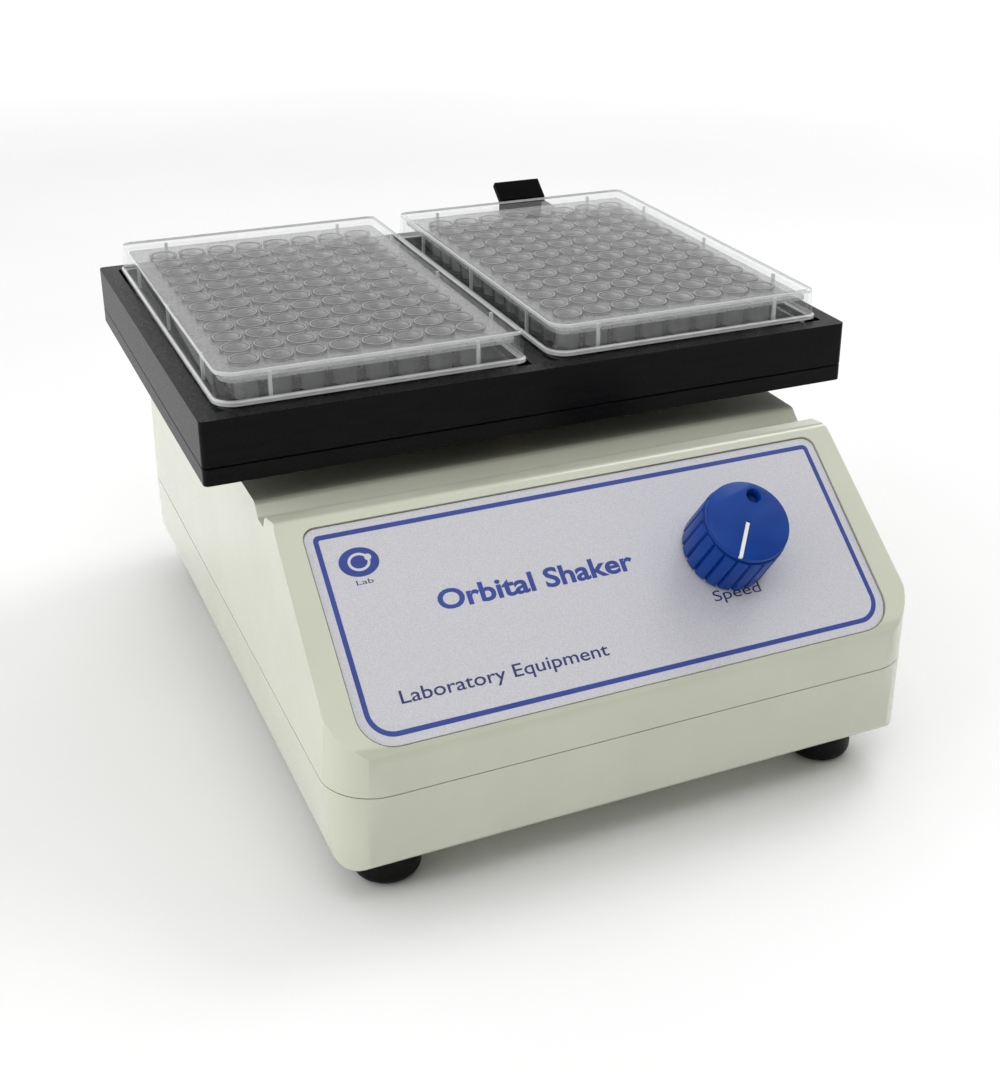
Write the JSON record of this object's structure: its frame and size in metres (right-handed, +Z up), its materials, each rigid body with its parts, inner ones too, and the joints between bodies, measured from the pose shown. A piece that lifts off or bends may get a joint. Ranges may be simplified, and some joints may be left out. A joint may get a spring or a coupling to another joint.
{
  "type": "orbital shaker",
  "caption": "Benchtop orbital shaker with a sloped control panel, blue speed knob and a black crank-driven platform carrying two lidded 96-well plates.",
  "frame": {"origin": "on the bench, under the middle of the whole machine", "axes": "+Z up, -Y towards the user (sloped panel), +X to the user's right"},
  "size_m": [0.1894, 0.216, 0.1224],
  "materials": {
    "housing": "satin moulded ABS, warm off-white",
    "label": "lightly speckled silver-grey label film",
    "knob": "satin moulded blue plastic",
    "pointer": "white inlay",
    "platform_black": "matt black",
    "black_plastic": "satin black",
    "rubber": "black rubber",
    "zinc": "zinc plated",
    "steel": "turned steel",
    "bronze": "sintered bronze",
    "aluminium": "machined",
    "board": "green solder mask",
    "transformer_iron": "varnished laminations and winding",
    "clear_plastic": "clear polystyrene"
  },
  "bodies": {
    "base": {"top_cover": "housing", "bottom_tray": "housing", "front_label": "label", "foot_front_left": "rubber", "foot_front_right": "rubber", "foot_rear_left": "rubber", "foot_rear_right": "rubber", "foot_screw_front_left": "zinc", "foot_screw_front_right": "zinc", "foot_screw_rear_left": "zinc", "foot_screw_rear_right": "zinc", "housing_screw_front_left": "zinc", "housing_screw_front_right": "zinc", "housing_screw_rear_left": "zinc", "housing_screw_rear_right": "zinc", "switch_frame": "housing", "power_inlet": "black_plastic", "speed_potentiometer": "aluminium", "potentiometer_nut": "zinc", "chassis_plate": "zinc", "chassis_post_1": "zinc", "chassis_post_2": "zinc", "chassis_post_3": "zinc", "chassis_post_4": "zinc", "motor": "steel", "motor_screw_left": "zinc", "motor_screw_right": "zinc", "control_board": "board", "transformer": "transformer_iron", "idler_bush_front": "bronze", "idler_bush_left": "bronze", "idler_bush_right": "bronze"},
    "drive": {"drive_crank": "steel", "motor_shaft": "steel"},
    "idler_front": {"idler_crank_front": "steel"},
    "idler_left": {"idler_crank_left": "steel"},
    "idler_right": {"idler_crank_right": "steel"},
    "platform": {"platform_plate": "platform_black", "platform_tray": "platform_black", "bearing_hub": "aluminium", "drive_bearing": "steel", "clamp_bracket": "black_plastic", "clamp_pin": "steel", "clamp_spring": "steel", "platform_screw_1": "zinc", "platform_screw_2": "zinc", "platform_screw_3": "zinc", "platform_screw_4": "zinc", "platform_bush_front": "bronze", "platform_bush_left": "bronze", "platform_bush_right": "bronze"},
    "clamp": {"clamp_lever": "black_plastic"},
    "knob": {"speed_knob": "knob", "knob_pointer": "pointer", "potentiometer_shaft": "steel"},
    "rocker": {"switch_rocker": "housing"},
    "plate_left": {"microplate_left": "clear_plastic"},
    "plate_right": {"microplate_right": "clear_plastic"},
    "lid_left": {"plate_lid_left": "clear_plastic"},
    "lid_right": {"plate_lid_right": "clear_plastic"}
  },
  "joints": [
    {"name": "drive_spin", "type": "hinge", "parent": "base", "child": "drive", "pos_m": [0, 0.0238, 0.072], "axis": [0, 0, 1], "continuous": true},
    {"name": "platform_orbit", "type": "hinge", "parent": "drive", "child": "platform", "pos_m": [0, 0.0253, 0.087], "axis": [0, 0, 1], "continuous": true},
    {"name": "idler_front_spin", "type": "hinge", "parent": "base", "child": "idler_front", "pos_m": [0, -0.02, 0.065], "axis": [0, 0, 1], "continuous": true},
    {"name": "idler_left_spin", "type": "hinge", "parent": "base", "child": "idler_left", "pos_m": [-0.048, 0.066, 0.065], "axis": [0, 0, 1], "continuous": true},
    {"name": "idler_right_spin", "type": "hinge", "parent": "base", "child": "idler_right", "pos_m": [0.048, 0.066, 0.065], "axis": [0, 0, 1], "continuous": true},
    {"name": "knob_turn", "type": "hinge", "parent": "base", "child": "knob", "pos_m": [0.035, -0.08142, 0.0667], "axis": [0, 0.6195, -0.785], "range_deg": [0, 300]},
    {"name": "switch_rock", "type": "hinge", "parent": "base", "child": "rocker", "pos_m": [0.07975, -0.0682, 0.056], "axis": [0, 0, 1], "range_deg": [-16, 0]},
    {"name": "clamp_open", "type": "hinge", "parent": "platform", "child": "clamp", "pos_m": [0.055, 0.0996, 0.101], "axis": [-1, 0, 0], "range_deg": [0, 35], "stiffness_Nm_per_rad": 0.04, "springref_deg": -28.65},
    {"name": "plate_left_lift", "type": "slide", "parent": "platform", "child": "plate_left", "axis": [0, 0, 1], "range_m": [0, 0.04]},
    {"name": "lid_left_lift", "type": "slide", "parent": "plate_left", "child": "lid_left", "axis": [0, 0, 1], "range_m": [0, 0.03]},
    {"name": "plate_right_lift", "type": "slide", "parent": "platform", "child": "plate_right", "axis": [0, 0, 1], "range_m": [0, 0.04]},
    {"name": "lid_right_lift", "type": "slide", "parent": "plate_right", "child": "lid_right", "axis": [0, 0, 1], "range_m": [0, 0.03]}
  ],
  "couplings": [
    {"joint": "platform_orbit", "follows": "drive_spin", "ratio": -1},
    {"joint": "idler_front_spin", "follows": "drive_spin", "ratio": 1},
    {"joint": "idler_left_spin", "follows": "drive_spin", "ratio": 1},
    {"joint": "idler_right_spin", "follows": "drive_spin", "ratio": 1}
  ]
}
